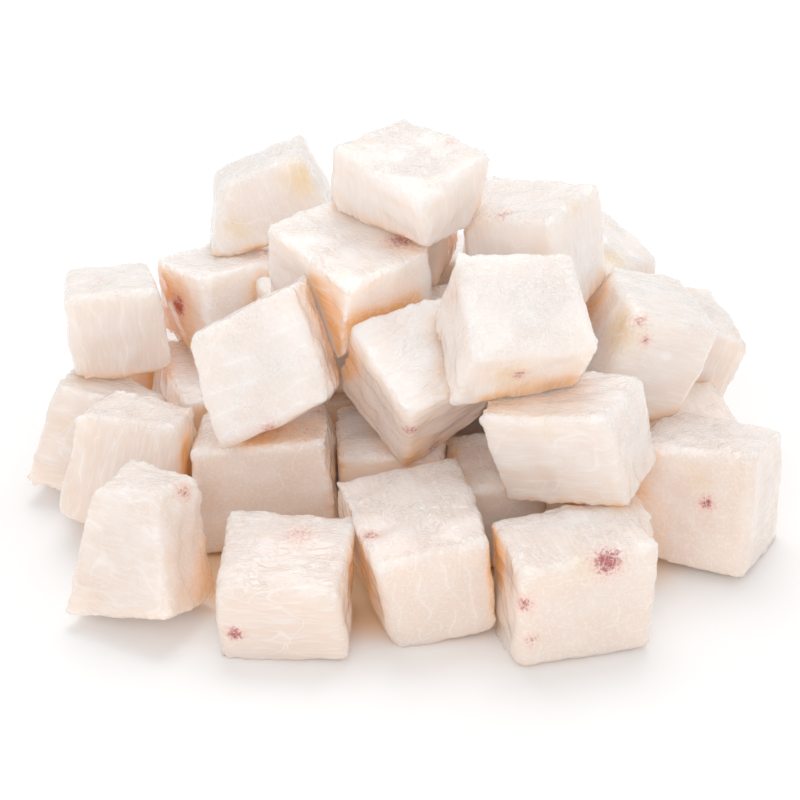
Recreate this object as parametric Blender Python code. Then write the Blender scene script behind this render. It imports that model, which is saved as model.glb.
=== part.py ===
"""A heap of raw sole cubes: soft white fish diced by hand and tipped out in a pile.

Run with blender --background --python part.py, or from Blender's text editor.
Every cube is a closed solid of its own. The heap stands on the floor at Z = 0 and its shown side faces -Y.
"""

import itertools
import math
import random

import bmesh
import bpy
import numpy as np
from mathutils import Euler, Vector

MM = 0.001

# The knife leaves blocks of about 25 mm. Their edges are soft and no two corners are alike.
EDGE_RADIUS = 1.6
CORNER_WANDER = 2.2
FACE_BULGE = 0.5
FACE_WANDER = 0.5

# The grid lines over a face, from one edge (-1) to the other (1). The outer strips make the rounded edges.
EDGE_STRIP = 0.2
GRID_LINES = (-1, EDGE_STRIP - 1, 0, 1 - EDGE_STRIP, 1)

# The fillet thins out towards its rim, and a block cut there is narrower above: the width and the depth of
# its top as shares of those of its base.
WEDGES = {
    "floor_cube_01": (0.6, 0.6),
    "floor_cube_06": (0.85, 0.85),
    "floor_cube_07": (0.7, 0.8),
    "third_cube_04": (0.65, 0.8),
}

# Cubes that lean on each other, or on the floor, flatten where they touch. A hair of air stays between them.
PRESS = 2.8
FLOOR_PRESS = 1.0
GAP = 0.3

# How the heap comes to rest: overlapping cubes move apart, and a cube with nothing under it sinks.
SETTLE_ROUNDS = 150
SINK_STEP = 0.3
PUSH_SHARE = 0.4
CARRIES_FROM = 0.3
SAME_FACE = 0.1

# Each row is one cube: its centre, then lean forward, lean right and turn, then width, depth and height.
# Lengths are in mm and angles in degrees. X runs right, Y away from the shown side and Z up.
FLOOR_CUBES = (
    # The front row, from left to right.
    ((-53, -45, 15), (-12, 0, -28), (25, 24, 27)),
    ((-24, -54, 10), (10, 0, -4), (27, 24, 19)),
    ((4, -43, 12), (5, -9, 14), (26, 35, 23)),
    ((35, -55, 13), (0, 0, 17), (28, 22, 27)),
    ((65, -18, 13), (-4, 3, -24), (29, 24, 26)),
    # Behind them, again from left to right.
    ((-67, 6, 12), (-4, 8, -20), (27, 18, 25)),
    ((-59, -14, 13), (-4, 10, -16), (30, 19, 28)),
    ((-30, -12, 14), (0, -6, -4), (29, 24, 27)),
    ((-1, -6, 12), (0, -3, -5), (25, 25, 24)),
    ((23, -20, 11), (0, 0, 8), (22, 23, 22)),
    ((41, -31, 10), (0, 0, 22), (17, 18, 20)),
    ((40, 4, 12), (0, 0, 8), (24, 24, 24)),
    ((62, 9, 10), (0, 0, 20), (22, 22, 20)),
    # The back rows. Only the first cube and the last show, in gaps.
    ((-43, 18, 12), (4, 4, 24), (20, 24, 24)),
    ((-18, 18, 11), (0, 0, -10), (24, 24, 22)),
    ((9, 22, 11), (0, 0, 20), (24, 24, 22)),
    ((34, 30, 11), (0, 0, -6), (22, 24, 22)),
    ((-60, 40, 10), (0, 0, 35), (24, 24, 20)),
    ((-30, 46, 11), (0, 0, 5), (25, 25, 22)),
    ((-2, 50, 11), (0, 0, -18), (24, 24, 22)),
    ((24, 54, 11), (0, 0, 14), (23, 24, 22)),
    ((50, 59, 11), (0, 0, -14), (22, 22, 22)),
    ((60, 34, 20), (0, 26, 18), (22, 24, 29)),
)
SECOND_CUBES = (
    # The shown side, from left to right.
    ((-65, 20, 33), (-4, 0, 12), (21, 22, 21)),
    ((-39, 32, 35), (-6, -6, 36), (26, 23, 20)),
    ((-27, -17, 46), (-20, -22, -5), (27, 22, 25)),
    ((4, -16, 40), (36, 10, 32), (23, 24, 24)),
    ((36, -33, 35), (-4, -7, -24), (28, 25, 22)),
    ((52, 2, 38), (0, 24, 20), (23, 25, 27)),
    ((45, 45, 34), (0, 10, 40), (22, 23, 22)),
    ((27, 31, 43), (-15, 0, 18), (23, 23, 30)),
    # The inside and the back.
    ((-18, 15, 36), (0, 6, 22), (23, 22, 22)),
    ((6, 11, 36), (0, 0, -12), (22, 22, 22)),
    ((28, 7, 34), (0, 4, 8), (18, 20, 20)),
    ((-17, 46, 30), (0, 4, 12), (22, 22, 18)),
    ((6, 48, 32), (-4, 0, -8), (20, 22, 20)),
)
THIRD_CUBES = (
    ((-13, 2, 56), (8, 0, 35), (24, 32, 21)),
    ((24, -25, 54), (30, 8, 10), (28, 25, 19)),
    ((26, 8, 60), (-2, -8, -28), (25, 20, 24)),
    ((-31, 42, 52), (-8, -14, 0), (29, 22, 18)),
    ((1, 30, 55), (0, 0, -6), (20, 22, 19)),
)
TOP_CUBES = (((3, 9, 72), (8, 0, 45), (21, 27, 15)),)
LAYERS = {
    "floor_cube": FLOOR_CUBES,
    "second_cube": SECOND_CUBES,
    "third_cube": THIRD_CUBES,
    "top_cube": TOP_CUBES,
}


def corner_signs():
    """The eight corners of a cube, each as three signs."""
    return itertools.product((-1, 1), repeat=3)


def face_signs():
    """The six faces of a cube, each as its axis and its sign on that axis."""
    return itertools.product(range(3), (-1, 1))


def cube_grid():
    """Points and quads of a cube's surface with sides from -1 to 1, cut along the grid lines."""
    points = []
    quads = []
    index = {}

    def point_at(axis, side, u, v):
        point = [0, 0, 0]
        point[axis] = side
        point[(axis + 1) % 3] = u
        point[(axis + 2) % 3] = v
        key = tuple(point)
        if key not in index:
            index[key] = len(points)
            points.append(point)
        return index[key]

    spans = list(zip(GRID_LINES, GRID_LINES[1:]))
    for axis, side in face_signs():
        for (u0, u1), (v0, v1) in itertools.product(spans, repeat=2):
            ring = [(u0, v0), (u1, v0), (u1, v1), (u0, v1)]
            quads.append([point_at(axis, side, u, v) for u, v in ring[::side]])
    return np.array(points, float), quads


def block_points(grid, size, top_share, rng):
    """The surface points of one cube round its own centre: an uneven block with rounded edges."""
    flat = 1 - EDGE_STRIP
    inner = np.clip(grid, -flat, flat)
    outward = grid - inner
    outward /= np.linalg.norm(outward, axis=1)[:, None]
    points = inner / flat * (np.array(size) / 2 - EDGE_RADIUS) + outward * EDGE_RADIUS
    for axis, side in face_signs():
        # The middle of a face stands proud, by an amount of its own.
        bulge = FACE_BULGE + rng.uniform(-1, 1) * FACE_WANDER
        u = grid[:, (axis + 1) % 3]
        v = grid[:, (axis + 2) % 3]
        points[:, axis] += side * bulge * (1 - u**2) * (1 - v**2) * (grid[:, axis] == side)
    points[:, :2] *= 1 - (1 - np.array(top_share)) * (1 + grid[:, 2:]) / 2
    for signs in corner_signs():
        # A corner that wanders takes the faces round it along.
        share = np.prod((1 + grid * signs) / 2, axis=1)
        shift = [rng.uniform(-1, 1) * CORNER_WANDER for _ in range(3)]
        points += share[:, None] * shift
    return points


class Cube:
    """One cube of fish: its shape about its own centre, the way it is turned and where its centre lies."""

    def __init__(self, name, row, grid, rng):
        centre, turn, size = row
        turned = np.array(Euler([math.radians(a) for a in turn], "ZYX").to_matrix())
        self.name = name
        self.axes = turned.T
        self.shape = block_points(grid, size, WEDGES.get(name, (1, 1)), rng) @ turned.T
        self.centre = np.array(centre, float)
        self.reach = np.linalg.norm(self.shape, axis=1).max()
        self.cuts = []

    def lowest(self):
        return self.centre[2] + self.shape[:, 2].min()


def contact(a, b):
    """(depth, direction from a to b) where two cubes overlap least. A negative depth is a gap."""
    between = b.centre - a.centre
    if np.linalg.norm(between) > a.reach + b.reach:
        return -math.inf, None
    crossed = np.cross(a.axes[:, None], b.axes[None]).reshape(-1, 3)
    directions = np.concatenate([a.axes, b.axes, crossed, between[None]])
    lengths = np.linalg.norm(directions, axis=1)
    usable = lengths > SAME_FACE
    directions = directions[usable] / lengths[usable, None]
    directions *= np.where(directions @ between < 0, -1, 1)[:, None]
    depths = (a.shape @ directions.T).max(axis=0) - (b.shape @ directions.T).min(axis=0) - directions @ between
    least = depths.argmin()
    return depths[least], directions[least]


def settle(cubes):
    """Moves overlapping cubes apart and lets the ones with nothing under them sink."""
    for _ in range(SETTLE_ROUNDS):
        carried = {cube.name for cube in cubes if cube.lowest() <= 0}
        for a, b in itertools.combinations(cubes, 2):
            depth, direction = contact(a, b)
            if depth < PRESS / 2:
                continue
            if abs(direction[2]) > CARRIES_FROM:
                carried.add((b if direction[2] > 0 else a).name)
            if depth > PRESS:
                move = PUSH_SHARE * (depth - PRESS) * direction
                a.centre -= move / 2
                b.centre += move / 2
        for cube in cubes:
            if cube.name not in carried:
                cube.centre[2] -= SINK_STEP
            cube.centre[2] += max(0, -FLOOR_PRESS - cube.lowest())


def centre_heap(cubes):
    """Moves the whole heap so that its box stands over the origin."""
    points = np.concatenate([cube.shape + cube.centre for cube in cubes])
    middle = (points.min(axis=0) + points.max(axis=0)) / 2
    for cube in cubes:
        cube.centre[:2] -= middle[:2]


def press_flats(cubes):
    """Gives each pair of touching cubes a shared plane, and each cube its own side of it."""
    for a, b in itertools.combinations(cubes, 2):
        depth, direction = contact(a, b)
        if depth > -GAP:
            plane = direction @ a.centre + (a.shape @ direction).max() - depth / 2
            a.cuts.append((plane - GAP / 2, direction))
            b.cuts.append((-plane - GAP / 2, -direction))


def cut_flat(mesh, distance, direction):
    """Removes what lies beyond a plane and closes the cut with one flat face."""
    cut = bmesh.ops.bisect_plane(
        mesh,
        geom=[*mesh.verts, *mesh.edges, *mesh.faces],
        dist=MM / 1000,
        plane_co=Vector(direction) * distance * MM,
        plane_no=Vector(direction),
        clear_outer=True,
    )
    rim = [item for item in cut["geom_cut"] if isinstance(item, bmesh.types.BMEdge)]
    if rim:
        bmesh.ops.contextual_create(mesh, geom=rim)


def add_cube(cube, quads, material):
    mesh = bmesh.new()
    corners = [mesh.verts.new(Vector(point) * MM) for point in cube.shape + cube.centre]
    for quad in quads:
        mesh.faces.new([corners[i] for i in quad])
    for distance, direction in cube.cuts:
        cut_flat(mesh, distance, direction)
    cut_flat(mesh, 0, (0, 0, -1))
    bmesh.ops.remove_doubles(mesh, verts=mesh.verts, dist=MM / 100)
    bmesh.ops.triangulate(mesh, faces=mesh.faces)
    data = bpy.data.meshes.new(cube.name)
    mesh.to_mesh(data)
    mesh.free()
    data.materials.append(material)
    bpy.context.scene.collection.objects.link(bpy.data.objects.new(cube.name, data))


def raw_fish(name, rng):
    """Moist, pale pinkish-white flesh, a little lighter or darker from cube to cube."""
    tone = rng.uniform(0.94, 1)
    material = bpy.data.materials.new(name)
    material.use_nodes = True
    shader = material.node_tree.nodes["Principled BSDF"]
    shader.inputs["Base Color"].default_value = (0.88 * tone, 0.78 * tone, 0.72 * tone, 1)
    shader.inputs["Roughness"].default_value = 0.35
    return material


def main():
    for old in list(bpy.data.objects):
        bpy.data.objects.remove(old)
    rng = random.Random(7)
    grid, quads = cube_grid()
    cubes = []
    for layer, rows in LAYERS.items():
        for number, row in enumerate(rows, start=1):
            cubes.append(Cube(f"{layer}_{number:02}", row, grid, rng))
    settle(cubes)
    centre_heap(cubes)
    press_flats(cubes)
    for cube in cubes:
        add_cube(cube, quads, raw_fish(cube.name, rng))


main()
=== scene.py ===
# %% [markdown]
# # A heap of raw sole cubes
#
# Sole is a thin white fish. Cut for stew, its fillets become blocks of about 25 mm, which are tipped out
# in a heap. The flesh is wet and lets light through, so the gaps between the blocks glow like honey.
#
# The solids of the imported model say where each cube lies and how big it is. This lesson gives every cube
# its skin: fibres, flakes, ragged cut edges, wet crinkles, white membranes and a few spots of blood.

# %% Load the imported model
import math
import random

import bmesh
import bpy
import numpy as np
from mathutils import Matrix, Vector
from mathutils.bvhtree import BVHTree


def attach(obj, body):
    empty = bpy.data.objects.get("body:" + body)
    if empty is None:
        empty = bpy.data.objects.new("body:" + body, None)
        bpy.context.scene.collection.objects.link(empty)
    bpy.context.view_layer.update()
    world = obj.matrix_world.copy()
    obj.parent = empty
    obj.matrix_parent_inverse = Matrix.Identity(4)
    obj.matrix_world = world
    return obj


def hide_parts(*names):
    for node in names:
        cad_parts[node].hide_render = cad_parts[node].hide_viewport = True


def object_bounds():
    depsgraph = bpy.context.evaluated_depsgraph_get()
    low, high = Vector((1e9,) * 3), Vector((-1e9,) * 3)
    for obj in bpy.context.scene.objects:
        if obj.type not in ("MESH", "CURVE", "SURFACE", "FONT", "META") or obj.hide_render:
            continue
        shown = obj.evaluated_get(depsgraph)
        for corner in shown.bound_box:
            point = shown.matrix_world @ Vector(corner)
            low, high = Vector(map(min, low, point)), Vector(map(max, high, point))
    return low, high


MM = 0.001
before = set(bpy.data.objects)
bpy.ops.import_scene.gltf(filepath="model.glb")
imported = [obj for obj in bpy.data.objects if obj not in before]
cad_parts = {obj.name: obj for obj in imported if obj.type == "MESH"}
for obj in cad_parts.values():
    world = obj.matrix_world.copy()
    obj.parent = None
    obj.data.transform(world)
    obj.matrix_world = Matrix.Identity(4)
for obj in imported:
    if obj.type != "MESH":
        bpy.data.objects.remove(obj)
solid_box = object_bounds()
cube_names = sorted(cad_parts)
print(len(cube_names), "cubes, box", [round(v / MM, 1) for corner in solid_box for v in corner])

# %% [markdown]
# ## The camera
#
# The photograph was taken from a little above, with a long lens, so that far cubes look almost as large as
# near ones. An elevation of 28 degrees makes the level tops as deep as they show.

# %% Place the camera
CAMERA_ELEVATION = math.radians(28)
CAMERA_DISTANCE = 600 * MM
CAMERA_TARGET = Vector((0.3, 0, 26)) * MM
PHOTO_SIZE = 800
PIXELS_PER_MM = 4.5
SENSOR_WIDTH = 36


def add_camera():
    data = bpy.data.cameras.new("camera")
    camera = bpy.data.objects.new("camera", data)
    bpy.context.scene.collection.objects.link(camera)
    data.sensor_width = SENSOR_WIDTH
    data.lens = SENSOR_WIDTH * PIXELS_PER_MM * CAMERA_DISTANCE / MM / PHOTO_SIZE
    data.clip_start = 10 * MM
    camera.location = CAMERA_TARGET + toward_camera * CAMERA_DISTANCE
    camera.rotation_euler = (math.pi / 2 - CAMERA_ELEVATION, 0, 0)
    bpy.context.scene.camera = camera
    return camera


toward_camera = Vector((0, -math.cos(CAMERA_ELEVATION), math.sin(CAMERA_ELEVATION)))
camera = add_camera()
print("lens", round(camera.data.lens, 1), "mm")


def sight_line(u, v):
    """Start and direction of the line of sight through a point, in pixels from the photo's top left."""
    across = (u - PHOTO_SIZE / 2) / PIXELS_PER_MM * MM
    down = (v - PHOTO_SIZE / 2) / PIXELS_PER_MM * MM
    up = Vector((0, math.sin(CAMERA_ELEVATION), math.cos(CAMERA_ELEVATION)))
    seen = CAMERA_TARGET + Vector((across, 0, 0)) - up * down
    return camera.location, (seen - camera.location).normalized()


# %% [markdown]
# ## The fibre frame of each cube
#
# A fillet is built of thin sheets of muscle, the flakes, and each cube is cut from it at its own angle. The
# lines on its faces follow that inner order, not the world's axes. So each cube first gets a frame of its
# own. Its axes are read from the solid: the direction that most of its surface faces, then the best one
# square to it.

# %% Find the axes of a solid
AXIS_SHARPNESS = 24
SQUARE_WITHIN = 0.2


def face_normals(mesh):
    normals = np.empty(len(mesh.polygons) * 3)
    areas = np.empty(len(mesh.polygons))
    mesh.polygons.foreach_get("normal", normals)
    mesh.polygons.foreach_get("area", areas)
    return normals.reshape(-1, 3), areas


def block_axes(mesh):
    """Three unit vectors along the edges of a block, and its middle."""
    normals, areas = face_normals(mesh)
    scores = (np.abs(normals @ normals.T) ** AXIS_SHARPNESS) @ areas
    first = normals[scores.argmax()]
    square = np.abs(normals @ first) < SQUARE_WITHIN
    second = normals[np.where(square, scores, 0).argmax()]
    second = second - first * (second @ first)
    second /= np.linalg.norm(second)
    corners = np.array([v.co for v in mesh.vertices])
    axes = np.array([first, second, np.cross(first, second)])
    middle = corners.mean(axis=0)
    return axes, middle


fibre_frames = {}
for name in cube_names:
    fibre_frames[name] = block_axes(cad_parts[name].data)
print("axes of", len(fibre_frames), "cubes")

# %% [markdown]
# ## Which cubes show
#
# Cubes inside the heap hide behind the others. They get a coarser skin, so that the triangles go where the
# eye does. Lines from far off, from all sides and from above, count how often each cube is met first.

# %% Count how much of each cube shows
LOOK_DIRECTIONS = 40
LOOK_STEP = 6 * MM
GOLDEN_ANGLE = math.pi * (3 - math.sqrt(5))


def join_solids():
    """One search tree of all the solids, and the cube that each of its triangles belongs to."""
    points = []
    triangles = []
    owners = []
    for name in cube_names:
        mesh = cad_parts[name].data
        offset = len(points)
        points.extend(v.co.copy() for v in mesh.vertices)
        for polygon in mesh.polygons:
            triangles.append([offset + i for i in polygon.vertices])
            owners.append(name)
    return BVHTree.FromPolygons(points, triangles), owners


def spread_directions(count, lowest):
    """Directions spread evenly over a sphere of radius 1, from a lowest height up, by the golden angle."""
    for i in range(count):
        height = lowest + (1 - lowest) * (i + 0.5) / count
        flat = math.sqrt(1 - height * height)
        turn = GOLDEN_ANGLE * i
        yield Vector((flat * math.cos(turn), flat * math.sin(turn), height))


def count_hits(tree, owners):
    hits = dict.fromkeys(cube_names, 0)
    middle = (solid_box[0] + solid_box[1]) / 2
    reach = (solid_box[1] - solid_box[0]).length
    steps = range(-int(reach / 2 / LOOK_STEP), int(reach / 2 / LOOK_STEP) + 1)
    for direction in spread_directions(LOOK_DIRECTIONS, 0):
        shade_by_facing = direction.orthogonal().normalized()
        rise = direction.cross(shade_by_facing)
        for a in steps:
            for b in steps:
                start = middle + direction * reach + (shade_by_facing * a + rise * b) * LOOK_STEP
                _, _, index, _ = tree.ray_cast(start, -direction)
                if index is not None:
                    hits[owners[index]] += 1
    return hits


solid_tree, triangle_owner = join_solids()
hits = count_hits(solid_tree, triangle_owner)
print("least seen:", sorted(hits.items(), key=lambda item: item[1])[:8])

# %% [markdown]
# ## The skin of a cube
#
# Each solid has broad facets. Its skin is made anew from it: a voxel remesh gives even small faces, and a
# Geometry Nodes tree then raises the relief, because the relief follows a rule: swellings, shallow steps
# where one flake ends and the next begins, fine fibres, and cut edges that run in little waves.
#
# The tree also lays down the numbers that the flesh's colours need later: where a point lies in the cube's
# own fibre frame, which flake it belongs to, how cloudy and how wet it is, how much it looks up, and how
# far other cubes shelter it.
#
# Soft cubes touch, so before a point rises, a ray looks for the neighbour, and the point stops half way.

# %% Sizes of the relief
SKIN_CELL = 0.56 * MM
HIDDEN_SKIN_CELL = 1.0 * MM
HIDDEN_UNDER_HITS = 60
# In millimetres. They become the inputs of the relief tree.
RELIEF = {
    "Swell size": 8.0,
    "Swell height": 0.9,
    "Fibre size": 1.6,
    "Fibre height": 0.12,
    "Flake pitch": 5.2,
    "Flake bend": 5.0,
    "Flake step": 0.2,
    "Edge wave size": 3.0,
    "Edge wave height": 1.5,
    "Nick size": 1.5,
    "Nick height": 0.8,
}


# %% [markdown]
# Node trees take many lines when every node and link is written out. A small class shortens them: it adds a
# node, sets or links its inputs in the same call, and gives back the output.

# %% Small helpers for node trees
class Tree:
    """Adds nodes to a tree, and links or sets their inputs by name or number."""

    def __init__(self, tree):
        self.tree = tree

    def add(self, kind, inputs=None, **settings):
        node = self.tree.nodes.new(kind)
        for key, value in settings.items():
            setattr(node, key, value)
        for key, value in (inputs or {}).items():
            if isinstance(value, bpy.types.NodeSocket):
                self.tree.links.new(value, node.inputs[key])
            else:
                node.inputs[key].default_value = value
        return node

    def math(self, operation, first, second=0.0, third=0.0):
        node = self.add("ShaderNodeMath", {0: first, 1: second, 2: third}, operation=operation)
        return node.outputs[0]

    def vector(self, operation, first, second=(0, 0, 0)):
        node = self.add("ShaderNodeVectorMath", {0: first, 1: second}, operation=operation)
        return node.outputs["Value" if operation in ("DOT_PRODUCT", "LENGTH", "DISTANCE") else "Vector"]

    def scale(self, vector, factor):
        node = self.add("ShaderNodeVectorMath", {0: vector, "Scale": factor}, operation="SCALE")
        return node.outputs["Vector"]

    def height_of(self, vector):
        return self.add("ShaderNodeSeparateXYZ", {0: vector}).outputs["Z"]

    def noise(self, vector, scale, detail=2.0, roughness=0.5, distortion=0.0):
        """Noise from 0 to 1 at a point."""
        inputs = {
            "Vector": vector,
            "Scale": scale,
            "Detail": detail,
            "Roughness": roughness,
            "Distortion": distortion,
        }
        return self.add("ShaderNodeTexNoise", inputs).outputs[0]

    def swing(self, value, height):
        """Turns 0 to 1 into minus height to height."""
        return self.math("MULTIPLY", self.math("MULTIPLY_ADD", value, 2.0, -1.0), height)

    def ramp(self, value, low, high, start=0.0, end=1.0):
        """A smooth step from start to end while the value goes from low to high."""
        inputs = {"Value": value, "From Min": low, "From Max": high, "To Min": start, "To Max": end}
        return self.add("ShaderNodeMapRange", inputs, interpolation_type="SMOOTHSTEP").outputs[0]


# %% [markdown]
# The relief is a height in millimetres along the normal. Edges are found by blurring the normals: on a flat
# face the blurred normal keeps its length, and round an edge it grows short, because its neighbours point
# apart. Shelter is measured with rays: the more of them that soon meet another cube, the deeper the gap.

# %% The relief tree
# Lengths are in millimetres, and a scale is in waves for each millimetre. Patterns are drawn out along the
# fibres, the first of the cube's axes.
EDGE_BLUR_STEPS = 5
FACE_NORMAL_LENGTH = 0.99
EDGE_NORMAL_LENGTH = 0.86
SMOOTH_STEPS = 2
NEIGHBOUR_REACH = 4.0
FAR_OFF = 50.0
FLOOR_CLEARANCE = 0.02
ALONG_FIBRES = (0.35, 1.0, 1.0)
FLAKE_BEND_SCALE = 0.09
FLAKE_DROP_FROM = 0.9
FLAKE_MIDDLE = 0.4
CLOUD_SCALE = 0.13
THREAD_CURL_SCALE = 0.07
THREAD_CURL = 9.0
WET_PATCH_SCALE = 0.1
DRY_PATCH_SHARE = 0.35
WET_FROM_SLOPE = 0.7
DRY_SIDE_SHARE = 0.12
SHELTER_RAYS = 16
SHELTER_START = 1.2
SHELTER_REACH = 18.0
SHELTER_BLUR_STEPS = 6


def surface_normal(make):
    return make.add("GeometryNodeInputNormal").outputs[0]


def surface_position(make):
    return make.add("GeometryNodeInputPosition").outputs[0]


def move_to(make, geometry, position):
    inputs = {"Geometry": geometry, "Position": position}
    return make.add("GeometryNodeSetPosition", inputs).outputs[0]


def add_socket(tree, name, kind, in_out="INPUT"):
    return tree.interface.new_socket(name=name, in_out=in_out, socket_type=kind)


def store(make, geometry, name, value, kind="FLOAT"):
    node = make.add("GeometryNodeStoreNamedAttribute", data_type=kind, domain="POINT")
    make.tree.links.new(geometry, node.inputs["Geometry"])
    node.inputs["Name"].default_value = name
    make.tree.links.new(value, node.inputs["Value"])
    return node.outputs["Geometry"]


def fibre_point(make, given):
    """The point in millimetres along the cube's own axes, shifted so that no two cubes share a pattern."""
    offset = make.scale(make.vector("SUBTRACT", surface_position(make), given["Middle"]), 1 / MM)
    parts = [make.vector("DOT_PRODUCT", offset, given[f"Axis {i}"]) for i in (1, 2, 3)]
    combined = make.add("ShaderNodeCombineXYZ", {0: parts[0], 1: parts[1], 2: parts[2]}).outputs[0]
    return make.vector("ADD", combined, given["Shift"])


def flake_count(make, point, given):
    """How many flakes lie between the cube's middle and this point. It is whole where two flakes meet."""
    wander = make.swing(make.noise(point, FLAKE_BEND_SCALE, 1.0), given["Flake bend"])
    return make.math("DIVIDE", make.math("ADD", make.height_of(point), wander), given["Flake pitch"])


def curled(make, point):
    """The point drawn out along the fibres and pushed about, so that lines laid over it curl."""
    inputs = {"Vector": point, "Scale": THREAD_CURL_SCALE, "Detail": 1.0}
    push = make.add("ShaderNodeTexNoise", inputs).outputs["Color"]
    push = make.scale(make.vector("SUBTRACT", push, (0.5, 0.5, 0.5)), THREAD_CURL)
    return make.vector("ADD", make.vector("MULTIPLY", point, ALONG_FIBRES), push)


def blur(make, value, kind, steps):
    node = make.add("GeometryNodeBlurAttribute", {"Iterations": steps}, data_type=kind)
    make.tree.links.new(value, next(s for s in node.inputs if s.name == "Value" and s.enabled))
    return next(s for s in node.outputs if s.enabled)


def edge_share(make):
    """1 on the cut edges and 0 on the faces: where the blurred normal has become short."""
    blurred = blur(make, surface_normal(make), "FLOAT_VECTOR", EDGE_BLUR_STEPS)
    return make.ramp(make.vector("LENGTH", blurred), FACE_NORMAL_LENGTH, EDGE_NORMAL_LENGTH)


def room_outwards(make, solids):
    """Half the way to the next cube along the normal, in millimetres."""
    normal = surface_normal(make)
    inputs = {"Target Geometry": solids, "Ray Direction": normal, "Ray Length": NEIGHBOUR_REACH * MM}
    ray = make.add("GeometryNodeRaycast", inputs)
    facing = make.vector("DOT_PRODUCT", ray.outputs["Hit Normal"], normal)
    met = make.math("MULTIPLY", ray.outputs["Is Hit"], make.math("LESS_THAN", facing, 0.0))
    half_way = make.math("MULTIPLY", ray.outputs["Hit Distance"], 0.5 / MM)
    free = make.math("MULTIPLY", make.math("SUBTRACT", 1.0, met), FAR_OFF)
    return make.math("ADD", make.math("MULTIPLY", half_way, met), free)


def shelter(make, solids):
    """How much of the space in front of a point is taken by other cubes: 0 in the open, 1 deep in a gap."""
    normal = surface_normal(make)
    start = make.vector("ADD", surface_position(make), make.scale(normal, SHELTER_START * MM))
    met = 0.0
    total = 0.0
    for direction in spread_directions(SHELTER_RAYS, -1):
        weight = make.math("MAXIMUM", make.vector("DOT_PRODUCT", normal, direction), 0.0)
        inputs = {"Target Geometry": solids, "Source Position": start, "Ray Direction": direction}
        ray = make.add("GeometryNodeRaycast", {**inputs, "Ray Length": SHELTER_REACH * MM})
        near = make.math("DIVIDE", ray.outputs["Hit Distance"], SHELTER_REACH * MM)
        near = make.math("MULTIPLY", ray.outputs["Is Hit"], make.math("SUBTRACT", 1.0, near))
        met = make.math("MULTIPLY_ADD", weight, near, met)
        total = make.math("ADD", total, weight)
    return make.math("DIVIDE", met, total)


def relief_height(make, point, flakes, edge, given):
    swell_scale = make.math("DIVIDE", 1.0, given["Swell size"])
    swell = make.swing(make.noise(point, swell_scale, 1.0), given["Swell height"])
    drawn_out = make.vector("MULTIPLY", point, ALONG_FIBRES)
    fibre_scale = make.math("DIVIDE", 1.0, given["Fibre size"])
    fibre = make.swing(make.noise(drawn_out, fibre_scale, 1.0), given["Fibre height"])
    phase = make.math("FRACT", flakes)
    slope = make.math("SUBTRACT", phase, make.ramp(phase, FLAKE_DROP_FROM, 1.0))
    step = make.math("MULTIPLY", make.math("SUBTRACT", slope, FLAKE_MIDDLE), given["Flake step"])
    wave_scale = make.math("DIVIDE", 1.0, given["Edge wave size"])
    wave = make.swing(make.noise(point, wave_scale, 2.0, 0.6), given["Edge wave height"])
    nick_scale = make.math("DIVIDE", 1.0, given["Nick size"])
    nick = make.swing(make.noise(point, nick_scale, 1.0), given["Nick height"])
    total = make.math("ADD", make.math("ADD", swell, fibre), step)
    return make.math("MULTIPLY_ADD", make.math("ADD", wave, nick), edge, total)


def smooth_positions(make, geometry, steps):
    return move_to(make, geometry, blur(make, surface_position(make), "FLOAT_VECTOR", steps))


def keep_above_floor(make, geometry):
    apart = make.add("ShaderNodeSeparateXYZ", {0: surface_position(make)}).outputs
    height = make.math("MAXIMUM", apart["Z"], FLOOR_CLEARANCE * MM)
    raised = make.add("ShaderNodeCombineXYZ", {0: apart["X"], 1: apart["Y"], 2: height}).outputs[0]
    return move_to(make, geometry, raised)


def wetness(make, point, up):
    """How strongly the wet film crinkles: most on faces that look up, and there in patches."""
    patches = make.ramp(make.noise(point, WET_PATCH_SCALE, 1.0), 0.4, 0.6, DRY_PATCH_SHARE, 1.0)
    return make.math("MULTIPLY", make.ramp(up, 0.0, WET_FROM_SLOPE, DRY_SIDE_SHARE, 1.0), patches)


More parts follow.
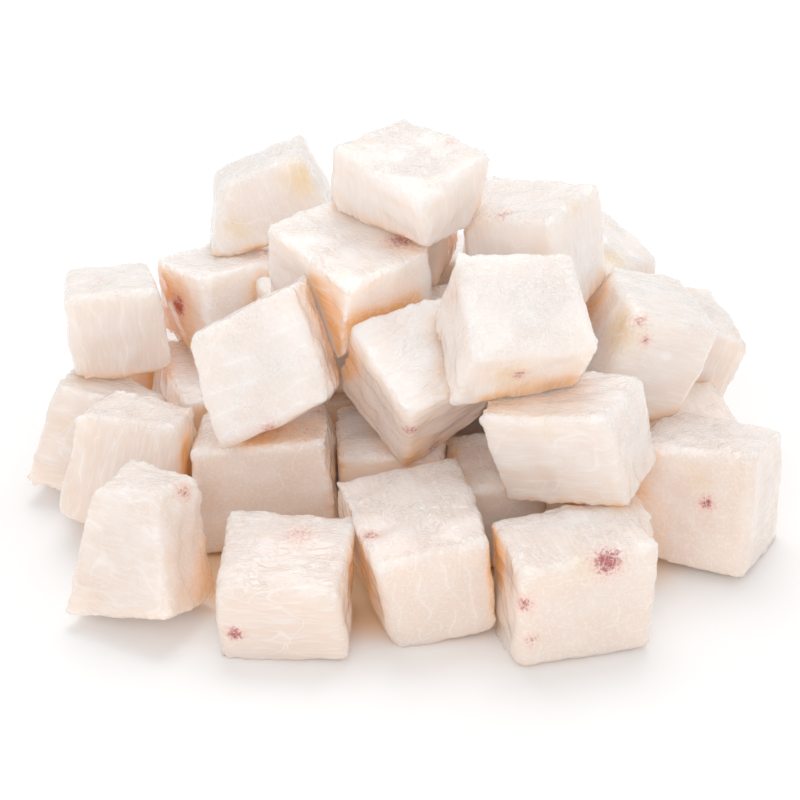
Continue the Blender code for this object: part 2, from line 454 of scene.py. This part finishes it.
def relief_tree():
    tree = bpy.data.node_groups.new("cut fish surface", "GeometryNodeTree")
    add_socket(tree, "Geometry", "NodeSocketGeometry")
    for name in ("Axis 1", "Axis 2", "Axis 3", "Middle", "Shift"):
        add_socket(tree, name, "NodeSocketVector")
    for name, value in RELIEF.items():
        add_socket(tree, name, "NodeSocketFloat").default_value = value
    add_socket(tree, "Solids", "NodeSocketObject")
    add_socket(tree, "Flesh", "NodeSocketMaterial")
    add_socket(tree, "Geometry", "NodeSocketGeometry", "OUTPUT")
    make = Tree(tree)
    given = make.add("NodeGroupInput").outputs
    solids = make.add("GeometryNodeObjectInfo", {"Object": given["Solids"]}).outputs["Geometry"]

    surface = smooth_positions(make, given["Geometry"], SMOOTH_STEPS)
    point = fibre_point(make, given)
    flakes = flake_count(make, point, given)
    cloud = make.ramp(make.noise(point, CLOUD_SCALE), 0.35, 0.65)
    surface = store(make, surface, "flesh", point, "FLOAT_VECTOR")
    surface = store(make, surface, "curly", curled(make, point), "FLOAT_VECTOR")
    surface = store(make, surface, "cloud", cloud)
    surface = store(make, surface, "flakes", flakes)
    height = relief_height(make, point, flakes, edge_share(make), given)
    height = make.math("MINIMUM", height, room_outwards(make, solids))
    offset = make.scale(surface_normal(make), make.math("MULTIPLY", height, MM))
    surface = make.add("GeometryNodeSetPosition", {"Geometry": surface, "Offset": offset}).outputs[0]
    surface = keep_above_floor(make, surface)
    up = make.height_of(surface_normal(make))
    sheltered = blur(make, shelter(make, solids), "FLOAT", SHELTER_BLUR_STEPS)
    surface = store(make, surface, "faces_up", up)
    surface = store(make, surface, "wet", wetness(make, point, up))
    surface = store(make, surface, "shelter", sheltered)
    smooth = make.add("GeometryNodeSetShadeSmooth", {"Geometry": surface, "Shade Smooth": True}).outputs[0]
    done = make.add("GeometryNodeSetMaterial", {"Geometry": smooth, "Material": given["Flesh"]}).outputs[0]
    make.add("NodeGroupOutput", {0: done})
    return tree


# %% [markdown]
# ## The flesh
#
# Raw white fish is a cloudy jelly of fibres: light goes in, wanders some millimetres and comes out warmer.
# That is subsurface scattering, with red going furthest. On it lies water, a thin clear coat whose crinkles
# catch the light. White threads of membrane part the flakes, and drawn-out noise makes the fibres.
#
# Most tints are painted light and shade, standing for light that has come through other cubes. They are paler
# on faces that look up and high in the heap, warmer low in it and on undersides, and golden in the gaps.

# %% Colours of the flesh
FLESH = (0.84, 0.69, 0.59, 1)
# Painted sheen: faces that look up are paler.
PAINTED_SHEEN_ON_TOPS = (0.89, 0.80, 0.75, 1)
CLEAR_FLESH = (0.81, 0.63, 0.53, 1)
# Painted light high in the heap, and painted shade low in it.
PAINTED_LIGHT_HIGH_UP = (0.96, 0.88, 0.83, 1)
PAINTED_SHADE_LOW_DOWN = (0.85, 0.61, 0.47, 1)
# Painted shade on faces that look down and where other cubes shelter a point.
SHADED_FLESH = (0.98, 0.67, 0.47, 1)
# Painted golden glow deep in the gaps, standing for light that has come through the flesh.
PAINTED_GAP_GLOW = (0.96, 0.47, 0.15, 1)
# White of the membranes, also used for the painted highlights along the wet film's creases.
MEMBRANE_AND_GLINT_WHITE = (0.95, 0.93, 0.91, 1)
BLOOD = (0.34, 0.03, 0.03, 1)
BLOOD_HALO = (0.82, 0.46, 0.37, 1)
OCHRE = (0.86, 0.60, 0.28, 1)

# Where two flakes meet, as a share of a flake, and how wide the thread there is.
THREAD_PHASE = 0.95
THREAD_WIDTH = 0.04
THREAD_CORE = 0.01
THREAD_SHARE = 0.4
STRAY_SCALE = 0.16
STRAY_WIDTH = 0.02
STRAY_CORE = 0.004
RAGGED_SCALE = 1.4
RAGGED = 0.8
RAGGED_OCHRE = 0.5
CLOUD_LIFT = 0.3


def mix_colour(make, factor, first, second):
    node = make.add("ShaderNodeMix", data_type="RGBA")
    for socket, value in (("Factor_Float", factor), ("A_Color", first), ("B_Color", second)):
        target = next(s for s in node.inputs if s.identifier == socket)
        if isinstance(value, bpy.types.NodeSocket):
            make.tree.links.new(value, target)
        else:
            target.default_value = value
    return next(s for s in node.outputs if s.identifier == "Result_Color")


def attribute(make, name):
    return make.add("ShaderNodeAttribute", attribute_name=name)


def membrane_share(make):
    """1 on the white thread between two flakes, which fades in and out along its way."""
    flakes = attribute(make, "flakes").outputs["Fac"]
    from_thread = make.math("SUBTRACT", make.math("FRACT", flakes), THREAD_PHASE)
    thread = make.ramp(make.math("ABSOLUTE", from_thread), THREAD_WIDTH, THREAD_CORE)
    return make.math("MULTIPLY", thread, attribute(make, "cloud").outputs["Fac"])


def stray_threads(make):
    """Fine white threads that cross the flakes: the edges of a curled cell pattern, worn away in places."""
    inputs = {"Vector": attribute(make, "curly").outputs["Vector"], "Scale": STRAY_SCALE}
    cells = make.add("ShaderNodeTexVoronoi", inputs, feature="DISTANCE_TO_EDGE").outputs[0]
    worn = make.math("SUBTRACT", 1.0, attribute(make, "cloud").outputs["Fac"])
    return make.math("MULTIPLY", make.ramp(cells, STRAY_WIDTH, STRAY_CORE), worn)


def flesh_colour(make, point, fibres, threads_and_glints):
    """The flesh's colour with tints laid over it: its own tones, stains and blood, and painted light, shade
    and highlights.
    """
    cloud = attribute(make, "cloud").outputs["Fac"]
    faces_up = attribute(make, "faces_up").outputs["Fac"]
    up = make.math("MULTIPLY_ADD", cloud, CLOUD_LIFT, faces_up)
    height = make.height_of(make.add("ShaderNodeTexCoord").outputs["Object"])
    height = make.math("DIVIDE", height, MM)
    # Painted shade: the shelter counts more on faces that look down.
    shade_by_facing = make.math("MULTIPLY_ADD", faces_up, -0.3, 1.1)
    sheltered = make.math("MULTIPLY", attribute(make, "shelter").outputs["Fac"], shade_by_facing)
    ragged = make.swing(make.noise(point, RAGGED_SCALE, 2.0, 0.7), RAGGED)
    ochre = make.math("MULTIPLY_ADD", ragged, RAGGED_OCHRE, attribute(make, "ochre").outputs["Fac"])
    blood = make.math("ADD", attribute(make, "blood").outputs["Fac"], ragged)
    # Each row: what drives the tint, where it starts, where it is full, its share there, and its colour.
    tints = (
        # Painted sheen on faces that look up, lifted in places by the cloud's random tone.
        (up, 0.1, 1.0, 1.0, PAINTED_SHEEN_ON_TOPS),
        # Painted shade on faces that look down.
        (up, 0.1, -0.6, 0.6, SHADED_FLESH),
        (cloud, 1.0, 0.0, 0.5, CLEAR_FLESH),
        # Painted light high in the heap, and painted shade low in it.
        (height, 25.0, 52.0, 0.45, PAINTED_LIGHT_HIGH_UP),
        (height, 40.0, 0.0, 0.45, PAINTED_SHADE_LOW_DOWN),
        # Painted shade where other cubes shelter a point, and a painted golden glow in the deepest gaps.
        (sheltered, 0.1, 0.6, 1.0, SHADED_FLESH),
        (sheltered, 0.4, 0.85, 1.0, PAINTED_GAP_GLOW),
        (fibres, 0.45, 0.75, 0.3, MEMBRANE_AND_GLINT_WHITE),
        (ochre, 0.15, 1.1, 0.85, OCHRE),
        (blood, 0.1, 0.9, 0.8, BLOOD_HALO),
        (blood, 0.6, 1.25, 1.0, BLOOD),
    )
    colour = FLESH
    for driver, start, full, share, tint in tints:
        colour = mix_colour(make, make.ramp(driver, start, full, 0.0, share), colour, tint)
    # White threads of membrane, and painted highlights along the wet film's creases.
    return mix_colour(make, make.math("MULTIPLY", threads_and_glints, THREAD_SHARE), colour, MEMBRANE_AND_GLINT_WHITE)


# %% [markdown]
# The wet film is drawn by a bump. Its creases lie where a noise passes through its middle, so they form long,
# bent lines instead of dots, and along them thin white lines are painted into the colour as highlights of the
# water.

# %% The wet film and the material
CRINKLE_STRETCH = (0.35, 0.6, 0.6)
CRINKLE_DISTORTION = 1.5
CREASE_WIDTH = 0.03
CRINKLE_HEIGHT = 1.3
FIBRE_STRETCH = (0.16, 1.3, 1.3)
FIBRE_HEIGHT = 0.08
SHADER_INPUTS = {
    "Subsurface Weight": 1.0,
    "Subsurface Radius": (1.0, 0.65, 0.42),
    "Subsurface Scale": 12.0 * MM,
    "Roughness": 0.35,
    "IOR": 1.38,
    "Coat Weight": 1.0,
    "Coat Roughness": 0.08,
    "Coat IOR": 1.5,
}


def crinkle_depth(make, point):
    """0 along the creases of the wet film, and growing away from them."""
    stretched = make.vector("MULTIPLY", point, CRINKLE_STRETCH)
    crinkles = make.noise(stretched, 1.0, 1.0, distortion=CRINKLE_DISTORTION)
    return make.math("ABSOLUTE", make.math("SUBTRACT", crinkles, 0.5))


# Painted highlights: thin white lines along the creases of the wet film.
def painted_crease_highlights(make, ridged):
    lines = make.ramp(ridged, CREASE_WIDTH, 0.0)
    return make.math("MULTIPLY", lines, attribute(make, "wet").outputs["Fac"])


def wet_normal(make, ridged, fibres):
    """The small relief: fibres all over, and crinkles in the wet film where a face looks up."""
    crinkled = make.math("MULTIPLY", attribute(make, "wet").outputs["Fac"], CRINKLE_HEIGHT)
    fine = make.math("MULTIPLY", fibres, FIBRE_HEIGHT)
    height = make.math("MULTIPLY_ADD", ridged, crinkled, fine)
    return make.add("ShaderNodeBump", {"Height": height, "Distance": MM, "Strength": 1.0}).outputs[0]


def raw_fish():
    material = bpy.data.materials.new("wet raw sole")
    material.use_nodes = True
    make = Tree(material.node_tree)
    shader = material.node_tree.nodes["Principled BSDF"]
    point = attribute(make, "flesh").outputs["Vector"]
    fibres = make.noise(make.vector("MULTIPLY", point, FIBRE_STRETCH), 1.0, 1.0)
    ridged = crinkle_depth(make, point)
    threads_and_glints = make.math("MAXIMUM", membrane_share(make), stray_threads(make))
    wet = wet_normal(make, ridged, fibres)
    # The painted crease highlights are mixed in with the white threads.
    threads_and_glints = make.math("MAXIMUM", threads_and_glints, painted_crease_highlights(make, ridged))
    links = material.node_tree.links
    links.new(flesh_colour(make, point, fibres, threads_and_glints), shader.inputs["Base Color"])
    links.new(wet, shader.inputs["Normal"])
    links.new(wet, shader.inputs["Coat Normal"])
    shader.subsurface_method = "BURLEY"
    for name, value in SHADER_INPUTS.items():
        shader.inputs[name].default_value = value
    return material


flesh = raw_fish()
surface_tree = relief_tree()
print("material:", flesh.name, "and relief:", surface_tree.name)

# %% [markdown]
# ## One skin for each cube
#
# Every cube comes from another part of the fish, so its pattern is shifted by a random but fixed amount, and
# which of its axes the fibres follow is drawn by lot as well.

# %% Make the skins
PATTERN_SPREAD = 400.0
PATTERN_SEED = 11


def solids_object():
    """All the solids as one mesh, which the rays of the relief tree look for."""
    mesh = bpy.data.meshes.new("solids")
    build = bmesh.new()
    for name in cube_names:
        build.from_mesh(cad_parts[name].data)
    build.to_mesh(mesh)
    build.free()
    made = bpy.data.objects.new("solids", mesh)
    bpy.context.scene.collection.objects.link(made)
    return made


def merged_copy(name):
    """A copy of a solid whose loose triangles are joined."""
    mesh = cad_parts[name].data.copy()
    build = bmesh.new()
    build.from_mesh(mesh)
    bmesh.ops.remove_doubles(build, verts=build.verts, dist=MM / 1000)
    build.to_mesh(mesh)
    build.free()
    mesh.materials.clear()
    piece = bpy.data.objects.new("skin_of_" + name, mesh)
    bpy.context.scene.collection.objects.link(piece)
    return piece


def set_inputs(modifier, values):
    items = modifier.node_group.interface.items_tree
    sockets = {item.name: item.identifier for item in items if item.in_out == "INPUT"}
    for name, value in values.items():
        modifier[sockets[name]] = value


def make_real(piece):
    """Turns what the modifiers show into the piece's own mesh."""
    graph = bpy.context.evaluated_depsgraph_get()
    mesh = bpy.data.meshes.new_from_object(piece.evaluated_get(graph))
    piece.modifiers.clear()
    piece.data = mesh


def skin(name, solids, rng):
    piece = merged_copy(name)
    remesh = piece.modifiers.new("even faces", "REMESH")
    remesh.mode = "VOXEL"
    remesh.voxel_size = HIDDEN_SKIN_CELL if hits[name] < HIDDEN_UNDER_HITS else SKIN_CELL
    relief = piece.modifiers.new("relief", "NODES")
    relief.node_group = surface_tree
    axes, middle = fibre_frames[name]
    order = rng.sample(range(3), 3)
    values = {f"Axis {i + 1}": tuple(axes[order[i]]) for i in range(3)}
    values["Middle"] = tuple(middle)
    values["Shift"] = tuple(rng.uniform(0, PATTERN_SPREAD) for _ in range(3))
    values["Solids"] = solids
    values["Flesh"] = flesh
    set_inputs(relief, values)
    make_real(piece)
    return piece


rng = random.Random(PATTERN_SEED)
solids = solids_object()
skins = {name: skin(name, solids, rng) for name in cube_names}
bpy.data.objects.remove(solids)
print("skins:", sum(len(p.data.polygons) for p in skins.values()), "faces")

# %% [markdown]
# ## Blood and stains
#
# Small vessels were cut too. They leave dark red spots with a torn outline, and here and there the flesh is
# tinted ochre. Each spot is placed where the photograph shows it: a line of sight through that point of the
# picture finds the cube, and the points round it are marked with how near they are.

# %% Mark the stains
STAIN_FADE = 1.6
# Each row: where it is seen, in pixels, its radius in mm and its strength.
BLOOD_SPOTS = (
    ((178, 305), 2.6, 1.3),
    ((402, 240), 3.0, 1.1),
    ((608, 562), 3.0, 1.35),
    ((235, 633), 1.8, 1.3),
    ((370, 535), 1.9, 1.0),
    ((707, 503), 1.8, 1.1),
    ((520, 375), 1.6, 1.0),
    ((270, 428), 2.0, 0.9),
    ((318, 410), 1.6, 0.8),
    ((410, 430), 1.8, 1.0),
    ((433, 447), 2.0, 1.1),
    ((523, 605), 2.0, 1.1),
    ((532, 640), 1.5, 0.9),
    ((183, 492), 2.0, 0.9),
    ((400, 120), 1.5, 0.9),
    ((450, 142), 1.2, 0.7),
    ((505, 213), 1.8, 0.9),
    ((640, 320), 2.2, 0.8),
    ((645, 340), 1.4, 0.9),
    ((300, 535), 3.2, 0.75),
)
OCHRE_STAINS = (
    ((303, 178), 4.5, 0.9),
    ((610, 258), 4.5, 0.9),
    ((240, 230), 3.5, 0.7),
    ((575, 205), 2.5, 0.6),
    ((620, 330), 5.0, 0.9),
    ((510, 375), 4.5, 0.8),
    ((585, 565), 4.5, 0.55),
    ((215, 570), 3.0, 0.5),
    ((550, 430), 4.0, 0.45),
    ((65, 425), 2.5, 0.5),
    ((700, 480), 3.5, 0.6),
)


def vertex_points(mesh):
    points = np.empty(len(mesh.vertices) * 3)
    mesh.vertices.foreach_get("co", points)
    return points.reshape(-1, 3)


def mark_stains(kind, stains):
    shares = {name: np.zeros(len(piece.data.vertices)) for name, piece in skins.items()}
    found = 0
    for (u, v), radius, strength in stains:
        place, _, index, _ = solid_tree.ray_cast(*sight_line(u, v))
        if place is None:
            continue
        found += 1
        name = triangle_owner[index]
        away = np.linalg.norm(vertex_points(skins[name].data) - np.array(place), axis=1) / MM
        share = strength * np.exp(-((away / radius) ** 2) / STAIN_FADE)
        shares[name] = np.maximum(shares[name], share)
    for name, piece in skins.items():
        marked = piece.data.attributes.new(kind, "FLOAT", "POINT")
        marked.data.foreach_set("value", shares[name].astype(np.float32))
    print(kind, "marks:", found, "of", len(stains))


mark_stains("blood", BLOOD_SPOTS)
mark_stains("ochre", OCHRE_STAINS)

# %% [markdown]
# ## The floor and the light
#
# The heap lies on bare white, in light so even that the floor has no edge. A bright sky all round does most
# of it. A softbox above and behind gives the wet tops their sparkle, and a weaker lamp lights the front.
#
# A painted glow on the floor below the heap stands for light that has come through the flesh. A gamma over 1
# in the view settings stands for the bright exposure of the photograph.

# %% Set the stage
FLOOR_SIZE = 4000 * MM
FLOOR_WHITE = (0.98, 0.98, 0.98, 1)
# Painted glow on the floor under the heap.
PAINTED_FLOOR_GLOW = (1.0, 0.64, 0.36, 1)
FLOOR_ROUGHNESS = 0.7
GLOW_SIZE = (76 * MM, 62 * MM, 1)
GLOW_FADES_FROM = 0.8
SKY_AT_HORIZON = 0.74
SKY_AT_ZENITH = 0.58
VIEW_GAMMA = 1.4
# Each row: a name, the place and the width in metres, and the power in watts.
LAMPS = (
    ("softbox above and behind", (0, 0.45, 1.1), 0.9, 5.5),
    ("lamp at the front", (-0.12, -1.2, 0.78), 0.9, 4.0),
)


def add_floor():
    mesh = bpy.data.meshes.new("floor")
    half = FLOOR_SIZE / 2
    corners = [(-half, -half, 0), (half, -half, 0), (half, half, 0), (-half, half, 0)]
    mesh.from_pydata(corners, [], [(0, 1, 2, 3)])
    material = bpy.data.materials.new("white floor")
    material.use_nodes = True
    make = Tree(material.node_tree)
    shader = material.node_tree.nodes["Principled BSDF"]
    place = make.add("ShaderNodeTexCoord").outputs["Object"]
    share = make.vector("LENGTH", make.vector("DIVIDE", place, GLOW_SIZE))
    # The floor's colour holds a painted glow below the heap.
    colour = mix_colour(make, make.ramp(share, GLOW_FADES_FROM, 1.0), PAINTED_FLOOR_GLOW, FLOOR_WHITE)
    material.node_tree.links.new(colour, shader.inputs["Base Color"])
    shader.inputs["Roughness"].default_value = FLOOR_ROUGHNESS
    mesh.materials.append(material)
    floor = bpy.data.objects.new("floor", mesh)
    bpy.context.scene.collection.objects.link(floor)


def add_lamp(name, place, size, watts):
    data = bpy.data.lights.new(name, "AREA")
    data.shape = "DISK"
    data.size = size
    data.energy = watts
    lamp = bpy.data.objects.new(name, data)
    lamp.location = Vector(place)
    lamp.rotation_euler = (-lamp.location).to_track_quat("-Z", "Y").to_euler()
    bpy.context.scene.collection.objects.link(lamp)


def add_sky(horizon, zenith):
    """White light from all round, whose strength goes from the horizon's to the zenith's."""
    world = bpy.data.worlds.new("white tent")
    world.use_nodes = True
    make = Tree(world.node_tree)
    direction = make.add("ShaderNodeTexCoord").outputs["Generated"]
    height = make.math("MAXIMUM", make.height_of(direction), 0.0)
    squared = make.math("MULTIPLY", height, height)
    strength = make.math("MULTIPLY_ADD", squared, zenith - horizon, horizon)
    background = world.node_tree.nodes["Background"]
    background.inputs["Color"].default_value = (1, 1, 1, 1)
    world.node_tree.links.new(strength, background.inputs["Strength"])
    bpy.context.scene.world = world


add_floor()
add_sky(SKY_AT_HORIZON, SKY_AT_ZENITH)
for lamp in LAMPS:
    add_lamp(*lamp)
bpy.context.scene.view_settings.view_transform = "Standard"
bpy.context.scene.view_settings.look = "None"
bpy.context.scene.view_settings.gamma = VIEW_GAMMA
print("floor, sky and", len(LAMPS), "lamps")

# %% [markdown]
# ## Handing over
#
# Each skin rides on the model's one body and takes the place of its solid.

# %% Hand the pieces over
for name, piece in skins.items():
    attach(piece, "root")
    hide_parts(name)
